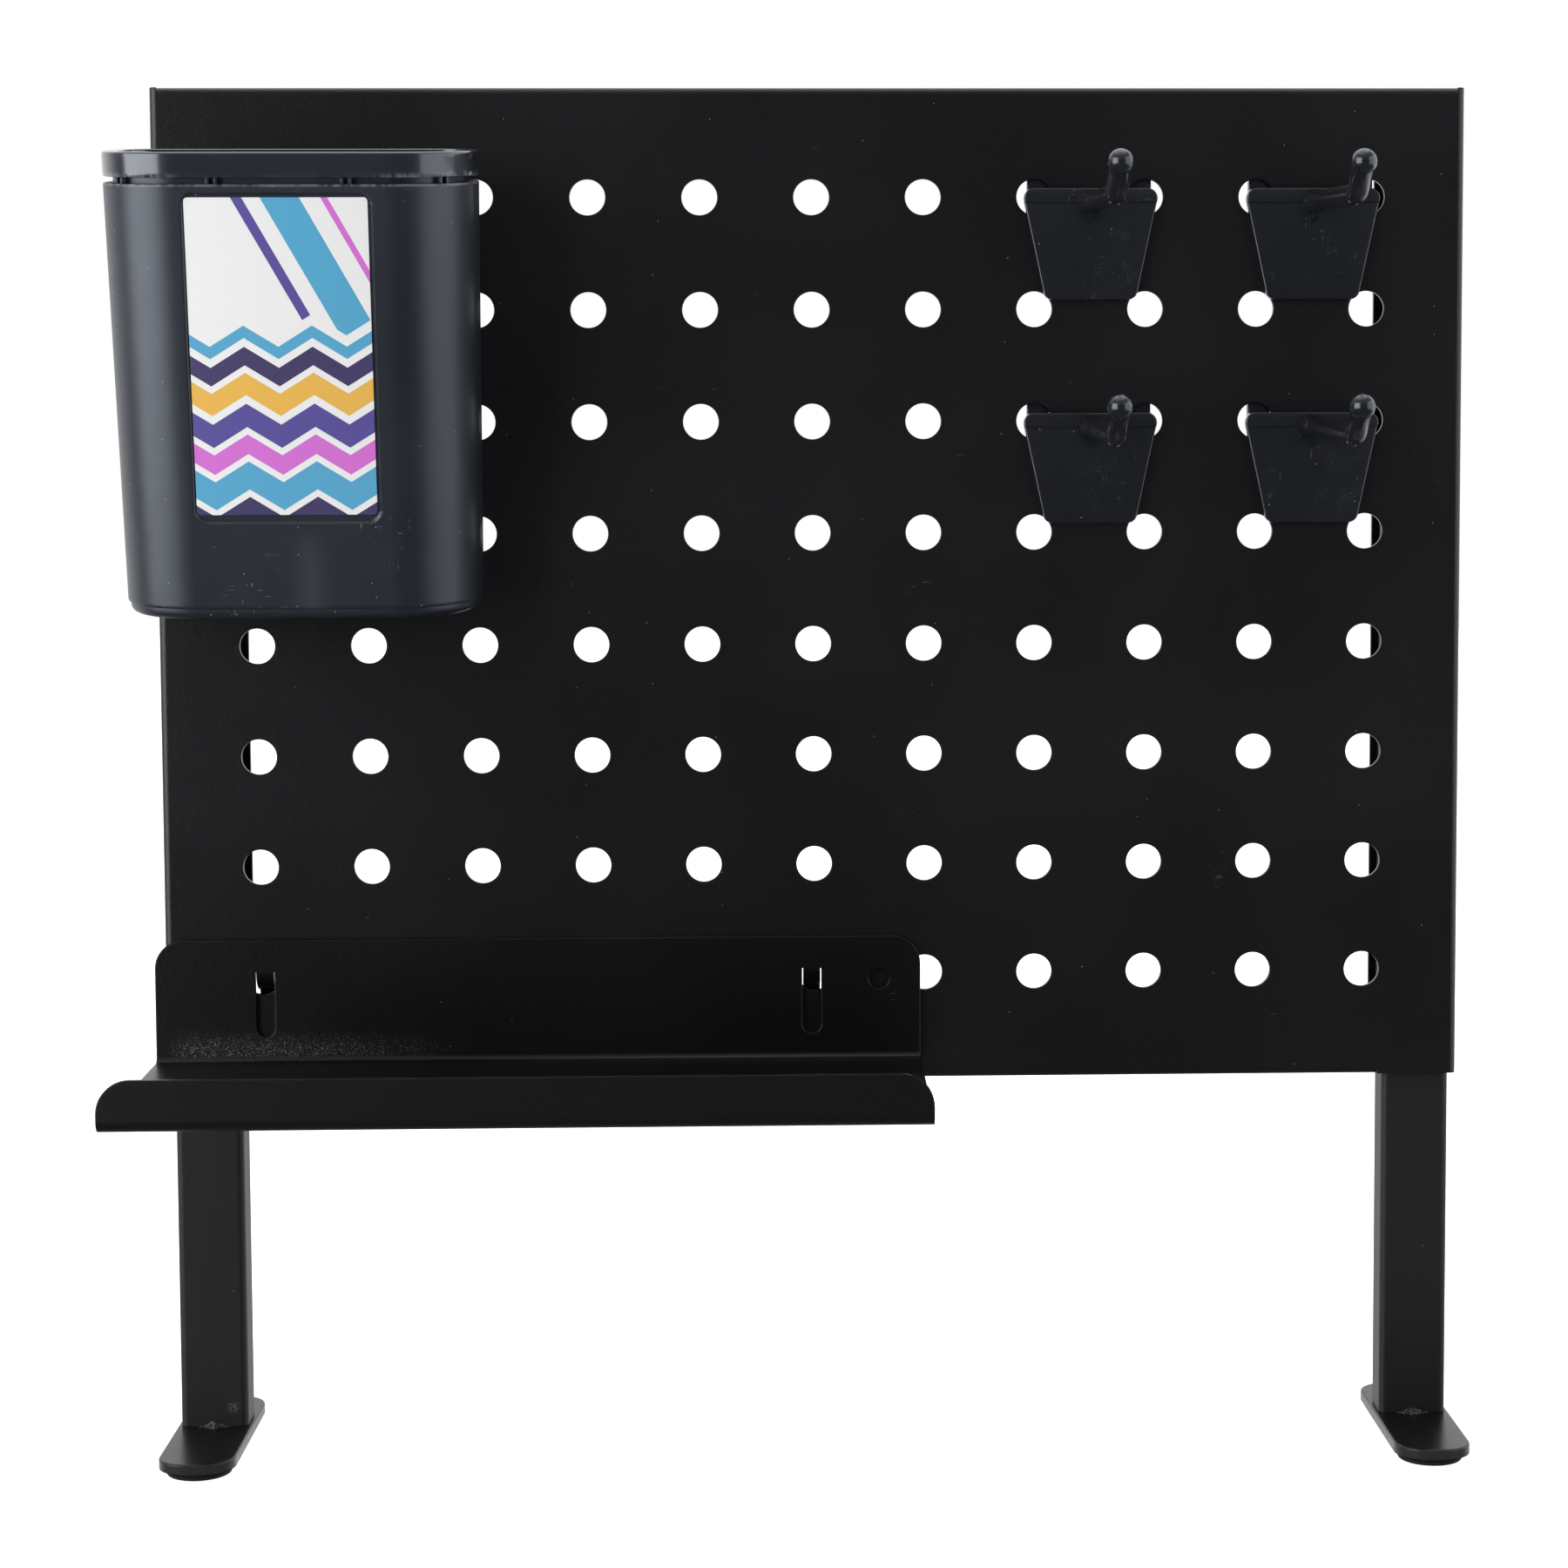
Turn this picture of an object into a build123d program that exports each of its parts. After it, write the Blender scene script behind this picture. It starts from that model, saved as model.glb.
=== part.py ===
from build123d import *
import math
import os

# Pegboard desk organizer: a folded steel pegboard on two legs, with a cup, a shelf and four hooks.
# Millimetres. While it is drawn, X = 0 is the middle of the board, Y = 0 its front face, which looks to -Y,
# and Z = 0 is the desk. At the end all pieces move together, to an origin below the middle of the whole.

# Board
hole_spacing = 25.0
hole_columns = 11
hole_rows = 8
hole_diameter = 8.0
side_margin = 22.0           # outer hole centres to the board's sides
end_margin = 24.3            # outer hole centres to the board's top and bottom edges
board_sheet = 1.2
fold_radius = 0.4            # inside of every folded edge
lip_width = 18.2             # rear lip of each side channel, from the board's side
flange_gap = 0.4             # end of the top and bottom flanges to the rear lips
flange_tube_gap = 1.4        # end of the bottom flange to the leg tubes

# Legs
tube_width = 15.3
tube_depth = 10.0
tube_wall = 1.2
tube_corner = 1.5
tube_inside_corner = 0.3
tube_side_gap = 0.3          # tube to the side of its channel
tube_back_gap = 0.2          # tube to the rear lip
leg_clear = 79.65            # foot plate to the board's lower edge
leg_overlap = 125.7          # length of tube inside the channel

# Feet
plate_length = 54.0
plate_width = 17.0
plate_thickness = 2.3
plate_corner = 7.0
plate_edge = 0.4             # rounding of the plate's top edge
plate_reach = 28.7           # plate's front end to the tube's front
pad_diameter = 14.4
pad_height = 2.0
pad_edge = 0.4
pad_end = 8.9                # pad's centre to the plate's end
weld_leg = 1.7
weld_length = 4.0

# Leg screws and weld nuts
screw_diameter = 4.0
screw_hole = 4.4
screw_end = 2.6              # screw standing out past the nut
head_diameter = 7.5
head_height = 2.4
head_round = 1.2
cross_length = 4.2
cross_width = 1.0
cross_depth = 1.2
nut_flats = 7.0
nut_height = 3.2
nut_bore_gap = 0.1
lower_screw = 20.0           # above the board's lower edge
upper_screw = 15.0           # below the tube's top

# Prongs that hang the hooks and the cup in the board's holes
prong_width = 0.625 * hole_diameter
prong_above = 0.2125 * hole_diameter   # top of the prong above the middle of its hole
prong_seat_gap = 0.4         # prong to the lower edge of its hole
prong_board_gap = 0.3        # upturned end to the back of the board
prong_thickness = 2.4        # of the upturned end
prong_rise = 8.0             # top of the upturned end above the middle of the hole
prong_heel = 3.4             # rounding under the upturned end
prong_tip_round = 0.8

# Hooks
hook_columns = (8, 10)       # left column of each hook's pair
hook_rows = (1, 3)
hook_gap = 0.1               # back of the plate to the board
hook_side = 3.0              # hole's centre to the plate's side
hook_foot_inset = 5.3        # plate's side at its foot, in from its side at the top
hook_prong_shift = 0.13 * hole_diameter   # prong's middle from its hole's middle, towards the hook's middle
hook_height = 24.7
hook_thickness = 2.2
hook_bar_height = 3.2        # thicker bar along the plate's top
hook_bar_step = 0.6
hook_top_corner = 2.4
hook_foot_corner = 2.2
hook_edge = 0.3
arm_diameter = 4.4
arm_root_drop = 1.1          # arm's root below the middle of the hole
arm_root_width = 5.0
arm_root_height = 5.4
arm_root_corner = 1.6
arm_root_length = 14.0
arm_elbow_reach = 56.5       # from the board's front
arm_elbow_drop = 4.5
arm_elbow_radius = 6.0
arm_tip_run = 7.5            # ball's centre in front of the elbow
arm_tip_rise = 6.0           # and above it
arm_ball = 5.3
rib_thickness = 1.4
rib_drop = 6.7
rib_length = 9.0

# Cup
cup_columns = (1, 2)
cup_row = 1
cup_offset = 0.85            # cup's middle from the middle of its two holes
cup_hang = 5.0               # row of holes below the collar's lower edge
cup_lean = 7.1               # degrees that the cup's top leans forward
cup_board_gap = 0.3
cup_height = 96.7            # seam to the collar's top
cup_width = 76.8             # at the seam
cup_depth = 32.5             # at the seam
cup_side_draft = 1.1         # each side stands out this much more at the top
cup_front_draft = 2.5        # the front stands out this much more at the top
cup_front_corner = 17.0
cup_rear_corner = 9.0
cup_wall = 3.2
cup_base_height = 2.4
cup_base_inset = 0.55
cup_base_round = 1.6
cup_floor = 2.6
neck_inset = 2.1
collar_height = 5.3
collar_gap = 1.3             # shadow gap under the collar
collar_fit = 0.1
collar_lip = 1.2
collar_edge = 0.6
spacer_width = 0.7
spacer_space = 1.0           # between the two spacers of a pair
spacer_setback = 0.5         # spacer's end to the cup's outside
spacer_place = 14.0          # pair's middle from the cup's middle
web_thickness = 2.4
web_drop = 17.0
web_board_gap = 1.2

# Recess in the cup's front and the label in it
recess_left = 1.15           # recess's edges from where the front's round corners begin at the seam
recess_right = 2.25
recess_bottom = 18.75        # above the seam
recess_top = 1.85            # below the shoulder
recess_sink = 0.5
recess_corner = 2.8
label_left = 0.35            # label's edges from the recess's edges
label_right = 0.75
label_bottom = 1.65
label_top = 0.85
label_thickness = 0.3
label_corner = 0.8

# Shelf
shelf_first_column = 1
shelf_last_column = 6
shelf_row = 8
shelf_overhang = 24.7        # tab's middle to the shelf's end
shelf_sheet = 1.2
shelf_gap = 0.1              # back of the shelf to the board
shelf_back_rise = 8.6        # top of the back plate above the row of holes
shelf_floor_drop = 20.3      # underside of the floor's back edge below the row of holes
shelf_floor_fall = 1.8       # the floor's front edge hangs this much lower
shelf_reach = 67.3           # front of the lip to the board's front
shelf_lip_height = 11.2
shelf_bend = 1.3
shelf_back_corner = 6.3
shelf_lip_corner = 7.0
slot_width = 4.3
slot_drop = 13.6             # bottom of the slot below the row of holes
tab_shift = 0.7              # tab's middle from its hole's middle, towards the shelf's middle
tab_side_gap = 0.2
tab_seat_gap = 0.3
tab_bend = 3.2
tab_hook_bend = 1.0
tab_hook_length = 4.5
keyhole_diameter = 4.6
keyhole_end = 9.4            # from the shelf's right end
keyhole_drop = 1.2

# Sizes worked out from the ones above
fold_outside = fold_radius + board_sheet
board_width = (hole_columns - 1) * hole_spacing + 2 * side_margin
board_height = (hole_rows - 1) * hole_spacing + 2 * end_margin
board_depth = board_sheet + tube_depth + tube_back_gap + board_sheet
plate_top = pad_height + plate_thickness
board_bottom = plate_top + leg_clear
board_top = board_bottom + board_height
board_middle = (board_bottom + board_top) / 2
lip_front = board_depth - board_sheet
leg_x = board_width / 2 - board_sheet - tube_side_gap - tube_width / 2
tube_front = board_sheet
tube_back = tube_front + tube_depth
tube_top = board_bottom + leg_overlap
screw_rows = (board_bottom + lower_screw, tube_top - upper_screw)
collar_bottom = cup_height - collar_height
shoulder = collar_bottom - collar_gap
collar_lip_under = cup_height - collar_lip
neck_top = collar_lip_under - collar_fit
sides = {"left": -1, "right": 1}


def column_x(number):
    """Middle of a column of holes, counted from the left."""
    return (number - (hole_columns + 1) / 2) * hole_spacing


def row_z(number):
    """Height of a row of holes, counted from the top."""
    return board_top - end_margin - (number - 1) * hole_spacing


def hole_half_height(width):
    """Half the height of a peg hole, at the sides of a bar of this width in its middle."""
    return math.sqrt((hole_diameter / 2) ** 2 - (width / 2) ** 2)


def block(x_range, y_range, z_range):
    """Box between two corners."""
    ranges = (x_range, y_range, z_range)
    middle = [(low + high) / 2 for low, high in ranges]
    size = [high - low for low, high in ranges]
    return Pos(*middle) * Box(*size)


def rod(x, y_range, z, diameter):
    """Round bar along Y."""
    low, high = y_range
    return Pos(x, (low + high) / 2, z) * Rot(90, 0, 0) * Cylinder(diameter / 2, high - low)


def slab(outline, thickness):
    """Outline drawn in Y and Z, given its thickness along X about X = 0."""
    return extrude(Plane.YZ * outline, thickness / 2, both=True)


def round_corner(outline, corner, radius):
    """Rounds the corner of a flat outline that lies nearest to a point."""
    return fillet(outline.vertices().sort_by_distance(corner)[0], radius)


# Board

flange_depth = lip_front - flange_gap
flange_leg = 3 * fold_outside


def flange(length):
    """Edge of the sheet folded back at the top of the board, along X."""
    outside = Rectangle(flange_depth, flange_leg, align=(Align.MIN, Align.MAX))
    inside = Rectangle(flange_depth, flange_leg, align=(Align.MIN, Align.MAX))
    outside = round_corner(outside, (0, 0), fold_outside)
    inside = round_corner(inside, (0, 0), fold_radius)
    return slab(outside - Pos(board_sheet, -board_sheet) * inside, length)


def board():
    """One sheet: a holed front, side channels with rear lips, and flanges at the top and bottom."""
    outside = RectangleRounded(board_width, board_depth, fold_outside)
    inside = RectangleRounded(board_width - 2 * board_sheet, board_depth - 2 * board_sheet, fold_radius)
    mouth = Pos(0, board_depth / 2) * Rectangle(board_width - 2 * lip_width, board_depth)
    profile = Pos(0, board_depth / 2) * (outside - inside - mouth)
    sheet = Pos(0, 0, board_bottom) * extrude(profile, board_height)
    top_length = board_width - 2 * fold_outside
    bottom_length = 2 * (leg_x - tube_width / 2 - flange_tube_gap)
    front = (0, board_sheet)
    sheet -= block((-top_length / 2, top_length / 2), front, (board_top - flange_leg, board_top))
    sheet -= block((-bottom_length / 2, bottom_length / 2), front, (board_bottom, board_bottom + flange_leg))
    sheet += Pos(0, 0, board_top) * flange(top_length)
    sheet += Pos(0, 0, board_bottom) * mirror(flange(bottom_length), about=Plane.XY)
    grid = GridLocations(hole_spacing, hole_spacing, hole_columns, hole_rows)
    holes = Sketch() + [Plane.XZ * place * Circle(hole_diameter / 2) for place in grid]
    sheet -= Pos(0, 0, board_middle) * extrude(holes, 2 * board_sheet, both=True)
    for side in sides.values():
        for height in screw_rows:
            drilled = (lip_front - tube_back_gap, board_depth + board_sheet)
            sheet -= rod(side * leg_x, drilled, height, screw_hole)
    return sheet


# Legs and feet


def leg_tube(x):
    """Tube that stands on the foot plate and slides up inside the side channel."""
    outside = RectangleRounded(tube_width, tube_depth, tube_corner)
    inside = RectangleRounded(tube_width - 2 * tube_wall, tube_depth - 2 * tube_wall, tube_inside_corner)
    tube = extrude(outside - inside, tube_top - plate_top)
    tube = Pos(x, tube_front + tube_depth / 2, plate_top) * tube
    for height in screw_rows:
        tube -= rod(x, (tube_back - 2 * tube_wall, tube_back + tube_wall), height, screw_hole)
    return tube


def foot_plate(x):
    """Flat strip with rounded corners across the end of the tube."""
    plate = extrude(RectangleRounded(plate_width, plate_length, plate_corner), plate_thickness)
    plate = fillet(plate.faces().sort_by(Axis.Z)[-1].edges(), plate_edge)
    return Pos(x, tube_front - plate_reach + plate_length / 2, pad_height) * plate


def foot_weld(x):
    """Two beads in the corners between the tube and the plate, in front and behind."""
    bead = Rot(0, 90, 0) * Cylinder(weld_leg, weld_length)
    for end in (-1, 1):
        bead += Pos(end * weld_length / 2, 0, 0) * Sphere(weld_leg)
    reach = weld_length / 2 + weld_leg
    front = bead & block((-reach, reach), (-weld_leg, 0), (0, weld_leg))
    rear = mirror(front, about=Plane.XZ)
    return [Pos(x, tube_front, plate_top) * front, Pos(x, tube_back, plate_top) * rear]


def foot_pad(x, y):
    """Round pad under one end of the plate."""
    pad = Cylinder(pad_diameter / 2, pad_height, align=(Align.CENTER, Align.CENTER, Align.MIN))
    pad = fillet(pad.edges().sort_by(Axis.Z)[0], pad_edge)
    return Pos(x, y, 0) * pad


def leg_screw(x, z):
    """Pan head screw with a cross recess, through the lip and the tube's rear wall into the nut."""
    upright = (Align.CENTER, Align.CENTER, Align.MIN)
    length = board_depth - (tube_back - tube_wall - nut_height) + screw_end
    head = Cylinder(head_diameter / 2, head_height, align=upright)
    head = fillet(head.edges().sort_by(Axis.Z)[-1], head_round)
    for turn in (0, 90):
        slot = Box(cross_length, cross_width, 2 * cross_depth)
        head -= Pos(0, 0, head_height) * Rot(0, 0, turn) * slot
    shank = Pos(0, 0, -length) * Cylinder(screw_diameter / 2, length, align=upright)
    return Pos(x, board_depth, z) * Rot(-90, 0, 0) * (head + shank)


def leg_nut(x, z):
    """Hexagon nut on the inside of the tube's rear wall."""
    hexagon = RegularPolygon(nut_flats / 2, 6, major_radius=False)
    nut = extrude(hexagon - Circle((screw_diameter + nut_bore_gap) / 2), nut_height)
    return Pos(x, tube_back - tube_wall - nut_height, z) * Rot(-90, 0, 0) * nut


# Hooks


def prong(start, shift=0):
    """Bar with an upturned end behind the board, through a hole whose middle is this far to one side of it."""
    inner = board_sheet + prong_board_gap
    outer = inner + prong_thickness
    under = prong_seat_gap - hole_half_height(prong_width + 2 * shift)
    corners = [(start, under), (outer, under), (outer, prong_rise)]
    corners += [(inner, prong_rise), (inner, prong_above), (start, prong_above)]
    outline = Polygon(*corners, align=None)
    outline = round_corner(outline, (outer, under), prong_heel)
    outline = round_corner(outline, (outer, prong_rise), prong_tip_round)
    outline = round_corner(outline, (inner, prong_rise), prong_tip_round)
    return slab(outline, prong_width)


def hook_outline():
    """Plate that narrows downwards, with rounded corners, drawn in X and Z."""
    top = hole_spacing / 2 + hook_side
    foot = top - hook_foot_inset
    bottom = prong_above - hook_height
    outline = Polygon((-top, prong_above), (-foot, bottom), (foot, bottom), (top, prong_above), align=None)
    for side in sides.values():
        outline = round_corner(outline, (side * top, prong_above), hook_top_corner)
        outline = round_corner(outline, (side * foot, bottom), hook_foot_corner)
    return Plane.XZ * outline


def hook_plate():
    """Back plate with a thicker bar along its top and rounded front edges."""
    plate = extrude(hook_outline(), hook_thickness)
    plate = fillet(plate.faces().sort_by(Axis.Y)[0].edges(), hook_edge)
    bar_front = hook_thickness + hook_bar_step
    reach = hole_spacing / 2 + hook_side
    band = block((-reach, reach), (-bar_front, 0), (prong_above - hook_bar_height, prong_above))
    bar = extrude(hook_outline(), bar_front) & band
    bar = fillet(bar.faces().sort_by(Axis.Y)[0].edges(), hook_edge)
    return Pos(0, -hook_gap, 0) * (plate + bar)


def hook_arm():
    """Round arm with a thicker root, a rib under it, and an upturned end with a ball."""
    start = (0, -hook_gap - hook_thickness / 2, -arm_root_drop)
    elbow = (0, -arm_elbow_reach, -arm_elbow_drop)
    tip = (0, elbow[1] - arm_tip_run, elbow[2] + arm_tip_rise)
    path = FilletPolyline(start, elbow, tip, radius=arm_elbow_radius)
    arm = sweep(Plane(path @ 0, z_dir=path % 0) * Circle(arm_diameter / 2), path=path)
    arm += Pos(*tip) * Sphere(arm_ball / 2)
    slope = (arm_elbow_drop - arm_root_drop) / (arm_elbow_reach + start[1])
    near = RectangleRounded(arm_root_width, arm_root_height, arm_root_corner)
    far = RectangleRounded(arm_diameter, arm_diameter, arm_root_corner)
    far_place = (0, start[1] - arm_root_length, start[2] - slope * arm_root_length)
    root = loft([Pos(*start) * (Plane.XZ * near), Pos(*far_place) * (Plane.XZ * far)], ruled=True)
    rib = Polygon((start[1], start[2]), (start[1] - rib_length, start[2]), (start[1], -rib_drop), align=None)
    return arm + root + slab(rib, rib_thickness)


def peg_hook():
    """Hook drawn about the middle of its two holes."""
    hook = hook_plate() + hook_arm()
    for side in sides.values():
        place = Pos(side * (hole_spacing / 2 - hook_prong_shift), 0, 0)
        hook += place * prong(-hook_gap - hook_thickness / 2, hook_prong_shift)
    return hook


# Cup, drawn upright with its rear wall at Y = 0 and its seam at Z = 0, then leaned against the board

cup_x = sum(column_x(column) for column in cup_columns) / len(cup_columns) + cup_offset
cup_drop = collar_bottom - cup_hang
cup_place = Location((cup_x, -cup_board_gap, row_z(cup_row) - cup_drop), (cup_lean, 0, 0))


def cup_sizes(height):
    """Width and depth of the cup's outside at a height above the seam."""
    share = height / cup_height
    width = cup_width + 2 * cup_side_draft * share
    depth = cup_depth + cup_front_draft * share
    return width, depth


def cup_section(height, inset):
    """Level outline of the cup, moved in from its outside."""
    width, depth = cup_sizes(height)
    outline = Rectangle(width - 2 * inset, depth - 2 * inset)
    outline = fillet(outline.vertices().sort_by(Axis.Y)[:2], cup_front_corner - inset)
    outline = fillet(outline.vertices().sort_by(Axis.Y)[-2:], cup_rear_corner - inset)
    return Pos(0, -depth / 2, height) * outline


def cup_layer(low, high, inset):
    """Part of the tapered cup between two heights."""
    return loft([cup_section(low, inset), cup_section(high, inset)], ruled=True)


def spacers():
    """Pairs of short ribs on the shoulder that carry the collar."""
    width, depth = cup_sizes(shoulder)
    reach = neck_inset - spacer_setback + collar_gap
    rib = Pos(0, reach / 2, shoulder) * Box(
        spacer_width, reach, collar_gap, align=(Align.CENTER, Align.CENTER, Align.MIN))
    step = (spacer_width + spacer_space) / 2
    pair = [Pos(-step, 0, 0) * rib, Pos(step, 0, 0) * rib]
    corner_x = width / 2 - cup_front_corner
    corner_y = cup_front_corner - depth
    places = []
    for side in sides.values():
        places.append(Pos(side * spacer_place, spacer_setback - depth, 0))
        places.append(Pos(side * spacer_place, -spacer_setback, 0) * Rot(0, 0, 180))
        on_arc = Pos(corner_x * side, corner_y, 0) * Rot(0, 0, 45 * side)
        places.append(on_arc * Pos(0, spacer_setback - cup_front_corner, 0))
    return [place * rib for place in places for rib in pair]


front_slope = math.degrees(math.atan(cup_front_draft / cup_height))
front_wall = Location((0, -cup_depth, 0), (front_slope, 0, 0))
front_flat = cup_width / 2 - cup_front_corner
recess_width = 2 * front_flat - recess_left - recess_right
recess_height = shoulder - recess_bottom - recess_top
recess_x = (recess_left - recess_right) / 2
recess_place = front_wall * Pos(recess_x, recess_sink, recess_bottom + recess_height / 2)


def cup_body():
    """Moulded cup with a neck for the collar, a shallow label recess, and prongs with webs behind."""
    base = extrude(Pos(0, 0, -cup_base_height) * cup_section(0, cup_base_inset), cup_base_height)
    base = fillet(base.faces().sort_by(Axis.Z)[0].edges(), cup_base_round)
    cup = base + cup_layer(0, shoulder, 0) + cup_layer(shoulder, neck_top, neck_inset)
    cup += spacers()
    cup -= cup_layer(cup_floor - cup_base_height, cup_height, cup_wall)
    recess = RectangleRounded(recess_width, recess_height, recess_corner)
    cup -= recess_place * extrude(Plane.XZ * recess, 2 * recess_sink)
    cup = cup_place * cup
    lean = math.tan(math.radians(cup_lean))
    wall_middle = -cup_board_gap - cup_drop * lean - cup_wall / 2
    web_end = -cup_board_gap - (cup_drop - web_drop) * lean - cup_wall / 2
    corners = ((wall_middle, 0), (-web_board_gap, 0), (web_end, -web_drop), (wall_middle, -web_drop))
    web = Polygon(*corners, align=None)
    for column in cup_columns:
        place = Pos(column_x(column), 0, row_z(cup_row))
        cup += place * prong(wall_middle)
        cup += place * slab(web, web_thickness)
    return cup


def cup_collar():
    """Ring over the neck, carried by the spacers, with a narrow lip over the neck's top."""
    ring = cup_layer(collar_bottom, cup_height, 0)
    ring = fillet(ring.faces().sort_by(Axis.Z)[-1].edges(), collar_edge)
    ring -= cup_layer(collar_bottom, collar_lip_under, neck_inset - collar_fit)
    ring -= cup_layer(collar_bottom, cup_height, cup_wall)
    return cup_place * ring


def cup_label():
    """Printed card on the bottom of the recess."""
    width = recess_width - label_left - label_right
    height = recess_height - label_bottom - label_top
    card = extrude(Plane.XZ * RectangleRounded(width, height, label_corner), label_thickness)
    shift = Pos((label_left - label_right) / 2, 0, (label_bottom - label_top) / 2)
    return cup_place * recess_place * shift * card


# Shelf, drawn with the row of holes at Z = 0 and the middle of the shelf at X = 0


def shelf_tab():
    """Tab cut from the back plate, bent back through its hole and down behind the board."""
    outer = tab_bend + shelf_sheet
    inset = tab_bend - shelf_gap - board_sheet
    width = slot_width - 2 * tab_side_gap
    seat = tab_seat_gap - hole_half_height(width + 2 * tab_shift)
    root = seat + math.sqrt(outer ** 2 - inset ** 2)
    bend_y = tab_bend - shelf_gap
    ring = Circle(outer) - Circle(tab_bend)
    first = Pos(bend_y, root) * (ring & Rectangle(outer, outer, align=(Align.MAX, Align.MAX)))
    hook_outer = tab_hook_bend + shelf_sheet
    hook_ring = Circle(hook_outer) - Circle(tab_hook_bend)
    hook_z = root - outer - tab_hook_bend
    quarter = Rectangle(hook_outer, hook_outer, align=(Align.MIN, Align.MIN))
    second = Pos(bend_y, hook_z) * (hook_ring & quarter)
    end = Pos(bend_y + tab_hook_bend, hook_z) * Rectangle(
        shelf_sheet, tab_hook_length, align=(Align.MIN, Align.MAX))
    return slab(first + second + end, width), root


def shelf_tray():
    """Bent sheet with a back plate, floor and front lip, hung by two tabs."""
    tab_spacing = (shelf_last_column - shelf_first_column) * hole_spacing - 2 * tab_shift
    half = tab_spacing / 2 + shelf_overhang
    depth = shelf_reach - shelf_gap
    drop = shelf_floor_drop + shelf_floor_fall
    height = shelf_back_rise + drop
    slope = shelf_floor_fall / depth
    floor_top = shelf_sheet * math.sqrt(1 + slope ** 2)
    back_corner = (0, shelf_floor_fall)
    front_corner = (-depth, 0)
    outside = Polygon(back_corner, (0, height), (-depth, height), front_corner, align=None)
    for corner in (back_corner, front_corner):
        outside = round_corner(outside, corner, shelf_bend + shelf_sheet)
    lip_back = shelf_sheet - depth
    back_inside = (-shelf_sheet, shelf_floor_fall - slope * shelf_sheet + floor_top)
    front_inside = (lip_back, slope * shelf_sheet + floor_top)
    above = height + shelf_sheet
    inside = Polygon(back_inside, (-shelf_sheet, above), (lip_back, above), front_inside, align=None)
    for corner in (back_inside, front_inside):
        inside = round_corner(inside, corner, shelf_bend)
    tray = slab(outside - inside, 2 * half)
    tray -= block((-half, half), (-depth, -2 * shelf_sheet), (shelf_lip_height, height))
    upright = tray.edges().filter_by(Axis.Y).filter_by(lambda edge: edge.length < 1.5 * shelf_sheet)
    tray = fillet(upright.group_by(Axis.Z)[-1], shelf_back_corner)
    lip_top = shelf_lip_height - shelf_sheet
    upright = tray.edges().filter_by(Axis.Y).filter_by(lambda edge: edge.center().Z > lip_top)
    tray = fillet(upright.group_by(Axis.Y)[0], shelf_lip_corner)
    tray = Pos(0, -shelf_gap, -drop) * tray
    tab, root = shelf_tab()
    back = (-shelf_gap - 2 * shelf_sheet, 0)
    slot_low = slot_width / 2 - slot_drop
    for side in sides.values():
        x = side * tab_spacing / 2
        tray -= block((x - slot_width / 2, x + slot_width / 2), back, (slot_low, root))
        tray -= rod(x, back, slot_low, slot_width)
        tray += Pos(x, 0, 0) * tab
    return tray - rod(half - keyhole_end, back, -keyhole_drop, keyhole_diameter)


# All pieces in place

nodes = {"pegboard_panel": board()}
for name, side in sides.items():
    x = side * leg_x
    plate_front = tube_front - plate_reach
    nodes["leg_tube_" + name] = leg_tube(x)
    nodes["foot_plate_" + name] = foot_plate(x)
    nodes["foot_weld_" + name] = Compound(children=foot_weld(x))
    nodes["foot_pad_front_" + name] = foot_pad(x, plate_front + pad_end)
    nodes["foot_pad_rear_" + name] = foot_pad(x, plate_front + plate_length - pad_end)
    nodes["leg_screws_" + name] = Compound(children=[leg_screw(x, z) for z in screw_rows])
    nodes["leg_nuts_" + name] = Compound(children=[leg_nut(x, z) for z in screw_rows])
nodes["cup_body"] = cup_body()
nodes["cup_collar"] = cup_collar()
nodes["cup_label"] = cup_label()
shelf_x = (column_x(shelf_first_column) + column_x(shelf_last_column)) / 2
nodes["shelf_tray"] = Pos(shelf_x, 0, row_z(shelf_row)) * shelf_tray()
hook = peg_hook()
for row, level in zip(hook_rows, ("upper", "lower")):
    for column, name in zip(hook_columns, sides):
        x = column_x(column) + hole_spacing / 2
        nodes["peg_hook_" + level + "_" + name] = Pos(x, 0, row_z(row)) * hook

# Origin on the desk, below the middle of the whole organizer

boxes = [shape.bounding_box() for shape in nodes.values()]
middle_x = (min(box.min.X for box in boxes) + max(box.max.X for box in boxes)) / 2
middle_y = (min(box.min.Y for box in boxes) + max(box.max.Y for box in boxes)) / 2
os.makedirs("parts", exist_ok=True)
for name, shape in nodes.items():
    export_step(Pos(-middle_x, -middle_y, 0) * shape, "parts/" + name + ".step")
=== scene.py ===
"""Black steel pegboard on two legs, with a pen cup, a small shelf and four peg hooks hung in its holes.

Shapes are worked out in millimetres. Finishes, lights and the floor are in metres.
"""
import math

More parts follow.
